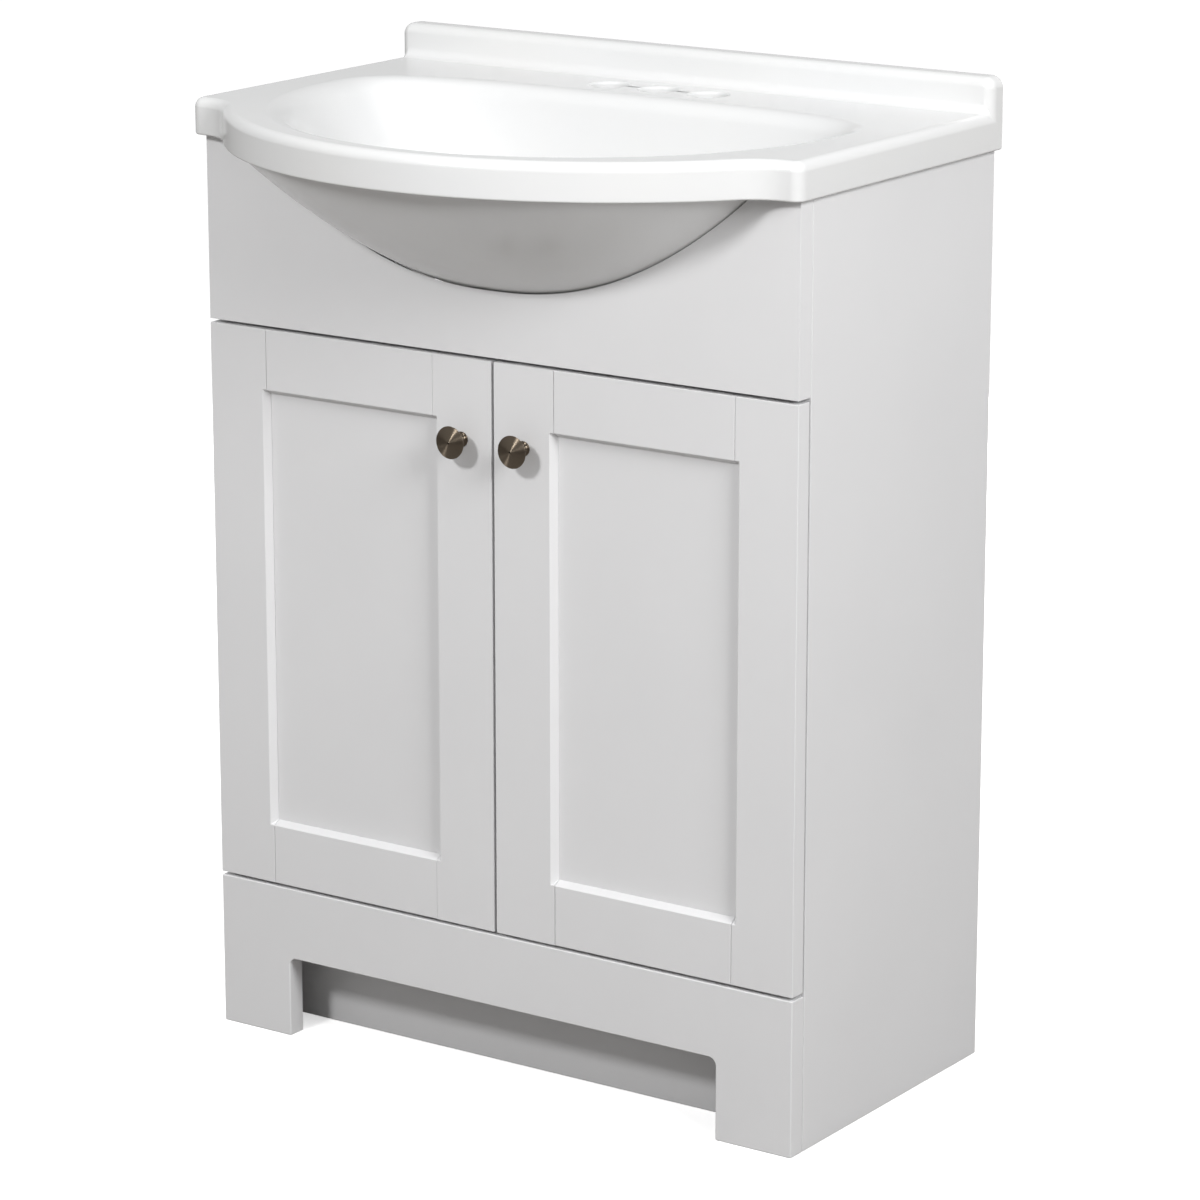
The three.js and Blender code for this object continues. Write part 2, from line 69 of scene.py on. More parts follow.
BOARD_EASE = 0.0011
TOP_EASE = 0.0022                   # the outer top edge of a side, just under the cast top
PAINT_GREY = "#dfdfe0"
PAINT_SHADE = "#d8d8d9"
PAINT_ORANGE_PEEL = 0.0022          # spacing of the dimples that sprayed paint dries with
PAINT_CLOUD = 0.16                  # spacing of the faint unevenness from one pass to the next
RAW_FIBREBOARD = "#a98f6f"
RAW_FIBRE_DARK = "#8b7355"
FIBRE_GRAIN = 0.0009


def linear(hex_colour):
    """An sRGB hex colour as the linear red, green, blue and alpha that shaders take."""
    channels = [int(hex_colour[i:i + 2], 16) / 255 for i in (1, 3, 5)]
    curve = [c / 12.92 if c <= 0.04045 else ((c + 0.055) / 1.055) ** 2.4 for c in channels]
    return (*curve, 1.0)


def add_node(material, kind, settings=None, links=None):
    """Adds a node. settings are its properties or unlinked inputs, links are its linked inputs."""
    node = material.node_tree.nodes.new(kind)
    for key, value in (settings or {}).items():
        if isinstance(key, str) and hasattr(node, key):
            setattr(node, key, value)
        else:
            node.inputs[key].default_value = value
    for key, source in (links or {}).items():
        material.node_tree.links.new(source, node.inputs[key])
    return node


def new_material(name):
    """An empty node material and its output node."""
    material = bpy.data.materials.new(name)
    material.use_nodes = True
    material.node_tree.nodes.clear()
    return material, add_node(material, "ShaderNodeOutputMaterial")


def show(material, output, shader):
    """Puts shader on the surface."""
    material.node_tree.links.new(shader.outputs[0], output.inputs["Surface"])


def satin_paint():
    """Sprayed satin enamel: smooth, a little orange peel, and a soft sheen."""
    paint, output = new_material("satin_grey_paint")
    place = add_node(paint, "ShaderNodeTexCoord").outputs["Object"]
    cloud = add_node(paint, "ShaderNodeTexNoise", {"Scale": 1 / PAINT_CLOUD, "Detail": 3.0},
                     {"Vector": place})
    tint = add_node(paint, "ShaderNodeMix",
                    {"data_type": "RGBA", 6: linear(PAINT_GREY), 7: linear(PAINT_SHADE)},
                    {0: cloud.outputs["Fac"]})
    peel = add_node(paint, "ShaderNodeTexNoise", {"Scale": 1 / PAINT_ORANGE_PEEL, "Detail": 1.0},
                    {"Vector": place})
    dimples = add_node(paint, "ShaderNodeBump", {"Strength": 0.10, "Distance": 0.0002},
                       {"Height": peel.outputs["Fac"]})
    gloss = add_node(paint, "ShaderNodeMapRange", {"To Min": 0.40, "To Max": 0.50},
                     {"Value": cloud.outputs["Fac"]})
    shader = add_node(paint, "ShaderNodeBsdfPrincipled", {"IOR": 1.5},
                      {"Base Color": tint.outputs[2], "Roughness": gloss.outputs[0],
                       "Normal": dimples.outputs[0]})
    show(paint, output, shader)
    return paint


def raw_fibreboard():
    """The sawn edge of medium-density fibreboard: brown, matt, with fine packed fibres."""
    board, output = new_material("raw_fibreboard_edge")
    place = add_node(board, "ShaderNodeTexCoord").outputs["Object"]
    fibres = add_node(board, "ShaderNodeTexNoise", {"Scale": 1 / FIBRE_GRAIN, "Detail": 4.0},
                      {"Vector": place})
    tint = add_node(board, "ShaderNodeMix",
                    {"data_type": "RGBA", 6: linear(RAW_FIBREBOARD), 7: linear(RAW_FIBRE_DARK)},
                    {0: fibres.outputs["Fac"]})
    fuzz = add_node(board, "ShaderNodeBump", {"Strength": 0.4, "Distance": 0.0003},
                    {"Height": fibres.outputs["Fac"]})
    shader = add_node(board, "ShaderNodeBsdfPrincipled", {"Roughness": 0.9},
                      {"Base Color": tint.outputs[2], "Normal": fuzz.outputs[0]})
    show(board, output, shader)
    return board


SATIN_PAINT = satin_paint()
RAW_EDGE = raw_fibreboard()


def pick(kind, test):
    """Selects the faces or edges of the mesh in edit mode whose centre and normal, or ends, pass test."""
    bpy.ops.mesh.select_all(action="DESELECT")
    bpy.ops.mesh.select_mode(type=kind)
    mesh = bmesh.from_edit_mesh(bpy.context.object.data)
    found = mesh.faces if kind == "FACE" else mesh.edges
    for part in found:
        if kind == "FACE":
            chosen = test(part.calc_center_median(), part.normal)
        else:
            chosen = test(part.verts[0].co, part.verts[1].co)
        if chosen:
            part.select_set(True)
    bmesh.update_edit_mesh(bpy.context.object.data)


def edit(piece):
    """Opens piece in edit mode with everything selected."""
    bpy.ops.object.select_all(action="DESELECT")
    bpy.context.view_layer.objects.active = piece
    piece.select_set(True)
    bpy.ops.object.mode_set(mode="EDIT")
    bpy.ops.mesh.select_all(action="SELECT")


def block(name, low, high):
    """A rectangular board between two corners, as an object at the origin."""
    middle = (low + high) / 2
    bpy.ops.mesh.primitive_cube_add(size=1, location=middle, scale=high - low)
    piece = bpy.context.object
    piece.name = piece.data.name = name
    bpy.ops.object.transform_apply(location=True, rotation=True, scale=True)
    return piece


def smooth(piece, degrees=35):
    """Shades piece smooth but for sharp edges, with flat faces kept flat beside their eased edges."""
    bpy.ops.object.mode_set(mode="OBJECT")
    bpy.ops.object.select_all(action="DESELECT")
    bpy.context.view_layer.objects.active = piece
    piece.select_set(True)
    bpy.ops.object.shade_smooth_by_angle(angle=math.radians(degrees))
    weighted = piece.modifiers.new("flat_faces", "WEIGHTED_NORMAL")
    weighted.keep_sharp = True
    bpy.ops.object.modifier_apply(modifier=weighted.name)
    piece.select_set(False)


def ease(piece, width=BOARD_EASE, sharper_than=40):
    """Rounds every sharp edge of piece by width."""
    bpy.ops.object.mode_set(mode="OBJECT")
    bpy.context.view_layer.objects.active = piece
    rounder = piece.modifiers.new("eased_edges", "BEVEL")
    rounder.width = width
    rounder.segments = 3
    rounder.limit_method = "ANGLE"
    rounder.angle_limit = math.radians(sharper_than)
    bpy.ops.object.modifier_apply(modifier=rounder.name)


def fit(piece, material, slot, body, *nodes):
    """Gives piece its finish, and lets it stand for its CAD nodes and move with their body."""
    piece.data.materials.clear()
    piece.data.materials.append(material)
    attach(piece, body)
    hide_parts(*nodes)


def bare_back(piece):
    """Leaves the rear edge of a finished board raw."""
    piece.data.materials.append(RAW_EDGE)
    back = max(v.co.y for v in piece.data.vertices)
    for face in piece.data.polygons:
        if face.normal.y > 0.9 and face.center.y > back - 0.0001:
            face.material_index = 1


for side in ("left", "right"):
    panel = block(f"{side}_side_board", *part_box(f"side_panel_{side}"))
    edit(panel)
    outer_x = max((v.co.x for v in panel.data.vertices), key=abs)
    panel_top = max(v.co.z for v in panel.data.vertices)
    pick("EDGE", lambda a, b: (abs(a.x + b.x - 2 * outer_x) < 0.0001
                               and a.z + b.z > 2 * panel_top - 0.0001))
    bpy.ops.mesh.bevel(offset=TOP_EASE, segments=3)
    ease(panel)
    smooth(panel)
    fit(panel, SATIN_PAINT, "painted_board", "cabinet", f"side_panel_{side}")
    bare_back(panel)


# ------------------------------------------------------------------------------ front skirt
# The skirt is an 18 mm painted board under the doors. A low arch with round corners is routed out of
# it, which leaves two feet, and it is glued to the front edges of the sides.

ARCH_ROUND = 0.007
foot_width = 0.0745
arch_height = 0.0725

skirt_low, skirt_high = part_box("front_skirt")
skirt = block("front_skirt_board", skirt_low, skirt_high)
arch_low = Vector((skirt_low.x + foot_width, skirt_low.y - 0.01, skirt_low.z - 0.02))
arch_high = Vector((skirt_high.x - foot_width, skirt_high.y + 0.01, skirt_low.z + arch_height))
arch = block("arch_cutter", arch_low, arch_high)
edit(arch)
pick("EDGE", lambda a, b: min(a.z, b.z) > arch_high.z - 0.001 and abs(a.y - b.y) > 0.01)
bpy.ops.mesh.bevel(offset=ARCH_ROUND, segments=8)
bpy.ops.object.mode_set(mode="OBJECT")


def cut(piece, cutter, operation="DIFFERENCE", keep=False):
    """Cuts cutter away from piece, or joins it on, and removes cutter unless keep is set."""
    bpy.ops.object.select_all(action="DESELECT")
    bpy.context.view_layer.objects.active = piece
    change = piece.modifiers.new("cut", "BOOLEAN")
    change.object = cutter
    change.operation = operation
    change.solver = "EXACT"
    bpy.ops.object.modifier_apply(modifier=change.name)
    if not keep:
        bpy.data.objects.remove(cutter)


cut(skirt, arch)
ease(skirt)
smooth(skirt)
fit(skirt, SATIN_PAINT, "painted_board", "cabinet", "front_skirt")


# ------------------------------------------------------------------------------ inner boards
# Floor and rails are 16 mm particle board faced in white melamine, screwed between the sides. Their
# edges are banded, but for the floor's sawn rear edge. The toe-kick board is painted like the front.

MELAMINE_WHITE = "#e9e8e5"
MELAMINE_SPECK = "#e2e1dd"
MELAMINE_PORE = 0.0012
BAND_EASE = 0.0004


def white_melamine():
    """Resin-faced board: white, faintly pebbled by the press plate, with a low sheen."""
    face, output = new_material("white_melamine")
    place = add_node(face, "ShaderNodeTexCoord").outputs["Object"]
    pebble = add_node(face, "ShaderNodeTexVoronoi", {"Scale": 1 / MELAMINE_PORE}, {"Vector": place})
    tint = add_node(face, "ShaderNodeMix",
                    {"data_type": "RGBA", 6: linear(MELAMINE_WHITE), 7: linear(MELAMINE_SPECK)},
                    {0: pebble.outputs["Distance"]})
    press = add_node(face, "ShaderNodeBump", {"Strength": 0.15, "Distance": 0.0002},
                     {"Height": pebble.outputs["Distance"]})
    shader = add_node(face, "ShaderNodeBsdfPrincipled", {"Roughness": 0.42},
                      {"Base Color": tint.outputs[2], "Normal": press.outputs[0]})
    show(face, output, shader)
    return face


MELAMINE = white_melamine()

for node in ("floor_panel", "front_rail", "back_rail_top", "back_rail_bottom"):
    board = block(f"{node}_board", *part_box(node))
    ease(board, BAND_EASE)
    smooth(board)
    fit(board, MELAMINE, "inner_board", "cabinet", node)
    if node == "floor_panel":
        bare_back(board)

toe_board = block("toe_kick_painted_board", *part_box("toe_kick_board"))
ease(toe_board)
smooth(toe_board)
fit(toe_board, SATIN_PAINT, "painted_board", "cabinet", "toe_kick_board")


# ------------------------------------------------------------------------------ cast top
# Deck, belly bowl and backsplash are one casting of filled resin, poured in a mould whose face was
# sprayed with gloss gel coat. Every edge that shows is round, as the mould has to let it go.

SPLASH_RISE = 0.030
SPLASH_THICK = 0.0185
EDGE_DEPTH = 0.032
BOW_RADIUS = 0.330
FILLET_RADIUS = 0.050
CORNER_RADIUS = 0.010
SHOULDER_STEP = 0.0125              # how far the corners beside the bow stand before the doors
BOWL_SETBACK = 0.125                # from the plane of the doors to the middle of the bowl
TAP_SETBACK = 0.247
EDGE_ROUND = 0.0085
SPLASH_CORNER = 0.010
UNDER_ROUND = 0.002
RIM_ROUND = 0.013
HOLE_ROUND = 0.0025
DECK_THICK = 0.019
UNDER_RIM = 0.025

top_low, top_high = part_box("vanity_top")
deck_z = top_high.z - SPLASH_RISE
under_z = deck_z - EDGE_DEPTH
splash_y = top_high.y - SPLASH_THICK
front_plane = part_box("front_skirt")[0].y
shoulder_y = front_plane - SHOULDER_STEP
bowl_y = front_plane + BOWL_SETBACK
bow_y = top_low.y + BOW_RADIUS


def vertex(name, place):
    """A mesh of one selected vertex, open in edit mode, to draw an outline from."""
    bpy.ops.mesh.primitive_plane_add(size=0.01, location=place)
    piece = bpy.context.object
    piece.name = piece.data.name = name
    bpy.ops.object.transform_apply(location=True)
    bpy.ops.object.mode_set(mode="EDIT")
    bpy.ops.mesh.select_mode(type="VERT")
    bpy.ops.mesh.select_all(action="SELECT")
    bpy.ops.mesh.merge(type="CENTER")
    return piece


def draw_line(*step):
    """Draws a straight edge on from the selected vertex."""
    bpy.ops.mesh.extrude_vertices_move(TRANSFORM_OT_translate={"value": step})


def draw_arc(centre, degrees, steps, axis=(0, 0, 1)):
    """Draws an arc on from the selected vertex, anticlockwise seen against axis."""
    bpy.ops.mesh.spin(steps=steps, angle=-math.radians(degrees), center=centre, axis=axis)


# the outline, drawn from the middle of the back along the right side, round the bow and home
fillet_y = shoulder_y - FILLET_RADIUS
fillet_x = math.sqrt((BOW_RADIUS + FILLET_RADIUS) ** 2 - (fillet_y - bow_y) ** 2)
meeting = math.degrees(math.atan2(bow_y - fillet_y, fillet_x))
half_width = top_high.x
corner_x = half_width - CORNER_RADIUS
corner_y = shoulder_y + CORNER_RADIUS

casting = vertex("cast_vanity_top", (0, top_high.y, under_z))
draw_line(half_width, 0, 0)
draw_line(0, corner_y - top_high.y, 0)
draw_arc((corner_x, corner_y, under_z), -90, 10)
draw_line(fillet_x - corner_x, 0, 0)
draw_arc((fillet_x, fillet_y, under_z), 90 - meeting, 10)
draw_arc((0, bow_y, under_z), -(180 - 2 * meeting), 96)
draw_arc((-fillet_x, fillet_y, under_z), 90 - meeting, 10)
draw_line(fillet_x - corner_x, 0, 0)
draw_arc((-corner_x, corner_y, under_z), -90, 10)
draw_line(0, top_high.y - corner_y, 0)
draw_line(half_width, 0, 0)
bpy.ops.mesh.select_all(action="SELECT")
bpy.ops.mesh.remove_doubles(threshold=0.00001)
bpy.ops.mesh.edge_face_add()
bpy.ops.mesh.extrude_region_move(TRANSFORM_OT_translate={"value": (0, 0, EDGE_DEPTH)})
bpy.ops.mesh.select_all(action="SELECT")
bpy.ops.mesh.normals_make_consistent(inside=False)
bpy.ops.mesh.bisect(plane_co=(0, splash_y, 0), plane_no=(0, 1, 0))
pick("FACE", lambda middle, normal: normal.z > 0.9 and middle.y > splash_y)
bpy.ops.mesh.extrude_region_move(TRANSFORM_OT_translate={"value": (0, 0, SPLASH_RISE)})
pick("FACE", lambda middle, normal: abs(normal.x) > 0.9 and middle.y > corner_y)
bpy.ops.mesh.dissolve_limited(angle_limit=math.radians(1))
pick("FACE", lambda middle, normal: normal.y > 0.9)
bpy.ops.mesh.dissolve_limited(angle_limit=math.radians(1))
pick("FACE", lambda middle, normal: normal.z < -0.9)
bpy.ops.mesh.dissolve_limited(angle_limit=math.radians(1))


def level(z):
    """A test for edges that lie at height z."""
    return lambda a, b: abs(a.z - z) < 0.0001 and abs(b.z - z) < 0.0001


# the backsplash's top corners first, then every edge that shows and the cove behind the deck
pick("EDGE", lambda a, b: (level(top_high.z)(a, b) and abs(a.x - b.x) < 0.0001
                           and abs(a.x) > half_width - 0.0001))
bpy.ops.mesh.bevel(offset=SPLASH_CORNER, segments=8)


def shows(a, b):
    """True for the deck's edge and the front outline of the backsplash."""
    on_deck = level(deck_z)(a, b) and max(a.y, b.y) < splash_y + 0.0001
    on_splash = max(abs(a.y - splash_y), abs(b.y - splash_y)) < 0.0001 and min(a.z, b.z) > deck_z - 0.0001
    return on_deck or on_splash


pick("EDGE", shows)
bpy.ops.mesh.bevel(offset=EDGE_ROUND, segments=8)
pick("EDGE", level(under_z))
bpy.ops.mesh.bevel(offset=UNDER_ROUND, segments=3)
bpy.ops.object.mode_set(mode="OBJECT")

# reach from the bowl's middle, depth, how full the section is, and how square the outline is before and
# behind the middle
BASIN = {"across": 0.250, "front": 0.247, "back": 0.075, "depth": 0.150,
         "fullness": 2.6, "square": (2.0, 3.4)}
BELLY = {"across": 0.272, "front": 0.265, "back": 0.097, "depth": 0.132,
         "fullness": 2.0, "square": (2.4, 2.4)}
FIRST_RING = 5
JOIN = 0.003                        # how deep two joined solids run into each other
DRAIN_RADIUS = 0.022
BOSS_RADIUS = 0.033
FAUCET_SPACING = 0.0508
FAUCET_RADIUS = 0.017
bowl_centre = Vector((0, bowl_y, 0))
faucet_y = front_plane + TAP_SETBACK


def bowl(name, shape, rim_z, rise, grow=0.0, around=160, rings=22):
    """A solid bowl under rim_z, rounder to the front than to the back, drawn as shrinking rings.

    No ring lies close under the rim, so that the rim can be rounded after it is cut.
    """
    bpy.ops.mesh.primitive_circle_add(vertices=around, radius=1, location=(0, 0, rim_z))
    piece = bpy.context.object
    piece.name = piece.data.name = name
    bpy.ops.object.transform_apply(location=True)
    for corner in piece.data.vertices:
        x, y = corner.co.x, corner.co.y
        power = 2 / shape["square"][0 if y < 0 else 1]
        reach = shape["front" if y < 0 else "back"] + grow
        corner.co.x = math.copysign(abs(x) ** power, x) * (shape["across"] + grow)
        corner.co.y = math.copysign(abs(y) ** power, y) * reach + bowl_y
    bpy.ops.object.mode_set(mode="EDIT")
    bpy.ops.mesh.select_mode(type="EDGE")
    bpy.ops.mesh.select_all(action="SELECT")
    size, drop = 1.0, 0.0
    depth = shape["depth"] + grow
    for ring in range(FIRST_RING, rings + 1):
        new_size = math.cos(math.pi / 2 * ring / (rings + 1)) ** 0.8
        new_drop = depth * (1 - new_size ** shape["fullness"])
        bpy.ops.mesh.extrude_edges_move(TRANSFORM_OT_translate={"value": (0, 0, drop - new_drop)})
        share = new_size / size
        bpy.ops.transform.resize(value=(share, share, 1), center_override=bowl_centre)
        size, drop = new_size, new_drop
    bpy.ops.mesh.edge_face_add()
    pick("EDGE", level(rim_z))
    bpy.ops.mesh.extrude_edges_move(TRANSFORM_OT_translate={"value": (0, 0, rise)})
    bpy.ops.mesh.edge_face_add()
    bpy.ops.mesh.select_all(action="SELECT")
    bpy.ops.mesh.normals_make_consistent(inside=False)
    bpy.ops.object.mode_set(mode="OBJECT")
    return piece


def rod(name, place, radius, low, high, sides=64):
    """An upright round bar, to join on or to drill with."""
    middle = (place[0], place[1], (low + high) / 2)
    bpy.ops.mesh.primitive_cylinder_add(vertices=sides, radius=radius, depth=high - low, location=middle)
    piece = bpy.context.object
    piece.name = piece.data.name = name
    bpy.ops.object.transform_apply(location=True)
    return piece


carcass_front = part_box("side_panel_left")[0].y
hollow_low = Vector((top_low.x + UNDER_RIM, carcass_front + UNDER_RIM, under_z - 0.01))
hollow_high = Vector((top_high.x - UNDER_RIM, top_high.y - UNDER_RIM, deck_z - DECK_THICK))
cut(casting, block("under_hollow", hollow_low, hollow_high))
cut(casting, bowl("belly", BELLY, under_z, EDGE_DEPTH - DECK_THICK + JOIN), "UNION")
cut(casting, rod("boss", (0, bowl_y), BOSS_RADIUS, top_low.z, deck_z - BASIN["depth"] - 0.004), "UNION")
cut(casting, bowl("basin", BASIN, deck_z, 0.02))
cut(casting, rod("drain", (0, bowl_y), DRAIN_RADIUS, top_low.z - 0.01, deck_z))
for place in (-1, 0, 1):
    cut(casting, rod("tap_hole", (place * FAUCET_SPACING, faucet_y), FAUCET_RADIUS, under_z, deck_z + 0.01))


def near_tap_hole(point):
    """True for a point on the wall of a tap hole."""
    along = min(abs(point.x - place * FAUCET_SPACING) for place in (-1, 0, 1))
    return abs(math.hypot(along, point.y - faucet_y) - FAUCET_RADIUS) < 0.0005


edit(casting)
pick("EDGE", lambda a, b: level(deck_z)(a, b) and near_tap_hole(a) and near_tap_hole(b))
bpy.ops.mesh.bevel(offset=HOLE_ROUND, segments=5)


def on_rim(a, b):
    """True for an edge where the basin's wall meets the deck."""
    def on_outline(point):
        across, along = abs(point.x), point.y - bowl_y
        power = BASIN["square"][0 if along < 0 else 1]
        reach = BASIN["front" if along < 0 else "back"]
        return abs((across / BASIN["across"]) ** power + abs(along / reach) ** power - 1) < 0.02
    return level(deck_z)(a, b) and on_outline(a) and on_outline(b)


pick("EDGE", on_rim)
bpy.ops.mesh.bevel(offset=RIM_ROUND, segments=10)
bpy.ops.object.mode_set(mode="OBJECT")
smooth(casting)


GEL_WHITE = "#e0e0df"
GEL_VEIL = "#dddedf"
GEL_RIPPLE = 0.055                  # the slow wave that a hand-sprayed mould leaves in the gloss
GEL_CLOUD = 0.12


def gloss_gel_coat():
    """Polished polyester gel coat: a clear hard gloss over dense white, very slightly wavy."""
    coat, output = new_material("gloss_white_gel_coat")
    place = add_node(coat, "ShaderNodeTexCoord").outputs["Object"]
    cloud = add_node(coat, "ShaderNodeTexNoise", {"Scale": 1 / GEL_CLOUD, "Detail": 3.0},
                     {"Vector": place})
    tint = add_node(coat, "ShaderNodeMix", {"data_type": "RGBA", 6: linear(GEL_WHITE), 7: linear(GEL_VEIL)},
                    {0: cloud.outputs["Fac"]})
    ripple = add_node(coat, "ShaderNodeTexNoise", {"Scale": 1 / GEL_RIPPLE, "Detail": 1.0},
                      {"Vector": place})
    wave = add_node(coat, "ShaderNodeBump", {"Strength": 0.12, "Distance": 0.0006},
                    {"Height": ripple.outputs["Fac"]})
    gloss = add_node(coat, "ShaderNodeMapRange", {"To Min": 0.16, "To Max": 0.22},
                     {"Value": cloud.outputs["Fac"]})
    shader = add_node(coat, "ShaderNodeBsdfPrincipled", {"IOR": 1.54},
                      {"Base Color": tint.outputs[2], "Roughness": gloss.outputs[0],
                       "Normal": wave.outputs[0]})
    show(coat, output, shader)
    return coat


GEL_COAT = gloss_gel_coat()
fit(casting, GEL_COAT, "cast_top", "cabinet", "vanity_top")


# ------------------------------------------------------------------------------ fascia
# The fascia is a fixed 18 mm painted board above the doors. Its top is sawn out to a curve that
# follows the belly of the bowl a hair's breadth away.

SCOOP_CLEARANCE = 0.0015

fascia = block("fascia_board", *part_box("fascia_panel"))
cut(fascia, bowl("scoop", BELLY, under_z, 0.01, grow=SCOOP_CLEARANCE))
ease(fascia)
smooth(fascia)
fit(fascia, SATIN_PAINT, "painted_board", "cabinet", "fascia_panel")


# ------------------------------------------------------------------------------ doors
# Each door is a frame of two full-height stiles and two rails round a loose flat panel, with a sloped
# edge milled inside the frame. The joints show as fine lines, as each board is eased before glueing.

RECESS_DEPTH = 0.007
RECESS_SLOPE = 0.0042
GROOVE_DEEP = 0.0083
PANEL_SLOT = 0.0063
JOINT_EASE = 0.0006
CUP_POCKET = 0.0178
CUP_DEEP = 0.0128
CUP_HEIGHTS = (0.230, 0.546)
OVERCUT = 0.002                     # how far a cutter runs past the wood


def rod_y(name, place, radius, length, sides=48):
    """A round bar of a length along y, centred on place."""
    bpy.ops.mesh.primitive_cylinder_add(vertices=sides, radius=radius, depth=length, location=place,
                                        rotation=(math.radians(90), 0, 0))
    piece = bpy.context.object
    piece.name = piece.data.name = name
    bpy.ops.object.transform_apply(location=True, rotation=True)
    return piece


for side in ("left", "right"):
    parts = {part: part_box(f"door_{side}_{part}")
             for part in ("outer_stile", "inner_stile", "top_rail", "bottom_rail")}
    stiles = sorted((parts["outer_stile"], parts["inner_stile"]), key=lambda corners: corners[0].x)
    front, back = parts["outer_stile"][0].y, parts["outer_stile"][1].y
    window_low = Vector((stiles[0][1].x, front, parts["bottom_rail"][1].z))
    window_high = Vector((stiles[1][0].x, back, parts["top_rail"][0].z))

    recess = block("recess_cutter", window_low - Vector((0, OVERCUT, 0)),
                   Vector((window_high.x, front + RECESS_DEPTH, window_high.z)))
    edit(recess)
    pick("FACE", lambda middle, normal: normal.y < -0.9)
    widen = 2 * RECESS_SLOPE * (RECESS_DEPTH + OVERCUT) / RECESS_DEPTH
    window = window_high - window_low
    bpy.ops.transform.resize(value=((window.x + widen) / window.x, 1, (window.z + widen) / window.z),
                             center_override=(window_low + window_high) / 2)
    bpy.ops.object.mode_set(mode="OBJECT")
    deep = Vector((GROOVE_DEEP, 0, GROOVE_DEEP))
    groove = block("groove_cutter", Vector((window_low.x, front + RECESS_DEPTH, window_low.z)) - deep,
                   Vector((window_high.x, front + RECESS_DEPTH + PANEL_SLOT, window_high.z)) + deep)
    rear = block("rear_cutter", Vector((window_low.x, front + RECESS_DEPTH + OVERCUT, window_low.z)),
                 window_high + Vector((0, OVERCUT, 0)))
    for part, (low, high) in parts.items():
        member = block(f"{side}_door_{part}", low, high)
        for cutter in (recess, groove, rear):
            cut(member, cutter, keep=True)
        if part == "outer_stile":
            cup_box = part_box(f"hinge_{side}_bottom_cup")
            cup_x = (cup_box[0].x + cup_box[1].x) / 2
            for height in CUP_HEIGHTS:
                cut(member, rod_y("cup_pocket", (cup_x, back, height), CUP_POCKET, 2 * CUP_DEEP))
        ease(member, JOINT_EASE, 25)
        smooth(member)
        fit(member, SATIN_PAINT, "painted_board", f"door_{side}", f"door_{side}_{part}")
    for cutter in (recess, groove, rear):
        bpy.data.objects.remove(cutter)
    panel = block(f"{side}_door_flat_panel", *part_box(f"door_{side}_panel"))
    ease(panel)
    smooth(panel)
    fit(panel, SATIN_PAINT, "painted_board", f"door_{side}", f"door_{side}_panel")


# ------------------------------------------------------------------------------ knobs
# Turned zinc knobs plated in brushed nickel: a flared foot, a slim neck and a head with a shallow
# pointed face. Each is held by one machine screw from inside the door.

NICKEL = "#857a6d"
NICKEL_DARK = "#6f6456"
TURNING_MARKS = 0.00035


def turned_nickel():
    """Nickel plate over turned zinc: warm dark grey metal with fine rings round the axis."""
    metal, output = new_material("brushed_nickel_plate")
    rings = add_node(metal, "ShaderNodeUVMap", {"uv_map": "turning"})
    split = add_node(metal, "ShaderNodeSeparateXYZ", None, {"Vector": rings.outputs[0]})
    marks = add_node(metal, "ShaderNodeTexNoise",
                     {"noise_dimensions": "1D", "Scale": 1 / TURNING_MARKS, "Detail": 2.0},
                     {"W": split.outputs["Y"]})
    tint = add_node(metal, "ShaderNodeMix",
                    {"data_type": "RGBA", 6: linear(NICKEL_DARK), 7: linear(NICKEL)},
                    {0: marks.outputs["Fac"]})
    grooves = add_node(metal, "ShaderNodeBump", {"Strength": 0.15, "Distance": 0.00005},
                       {"Height": marks.outputs["Fac"]})
    along = add_node(metal, "ShaderNodeTangent", {"direction_type": "UV_MAP", "uv_map": "turning"})
    shader = add_node(metal, "ShaderNodeBsdfPrincipled",
                      {"Metallic": 1.0, "Roughness": 0.32, "Anisotropic": 1.0,
                       "Anisotropic Rotation": 0.25},
                      {"Base Color": tint.outputs[2], "Normal": grooves.outputs[0],
                       "Tangent": along.outputs[0]})
    show(metal, output, shader)
    return metal


NICKEL_PLATE = turned_nickel()
IN_SIDE_VIEW = (0, -1, 0)           # draws arcs anticlockwise in the x-z plane


def lathe(name, outline, place, towards, sides=48):
    """Turns an outline about its axis and stands it at place, pointing towards a direction.

    A step of two numbers is a line out and up. One of four is an arc: centre out, centre up, degrees
    and segments.
    """
    piece = vertex(name, (0, 0, 0))
    for step in outline:
        if len(step) == 2:
            draw_line(step[0], 0, step[1])
        else:
            draw_arc((step[0], 0, step[1]), step[2], step[3], IN_SIDE_VIEW)
    bpy.ops.mesh.select_all(action="SELECT")
    bpy.ops.mesh.spin(steps=sides, angle=math.radians(360), center=(0, 0, 0), axis=(0, 0, 1))
    bpy.ops.mesh.select_all(action="SELECT")
    bpy.ops.mesh.remove_doubles(threshold=0.00001)
    bpy.ops.mesh.normals_make_consistent(inside=False)
    bpy.ops.object.mode_set(mode="OBJECT")
    piece.rotation_euler = Vector(towards).to_track_quat("Z", "Y").to_euler()
    piece.location = place
    bpy.ops.object.transform_apply(location=True, rotation=True)
    return piece


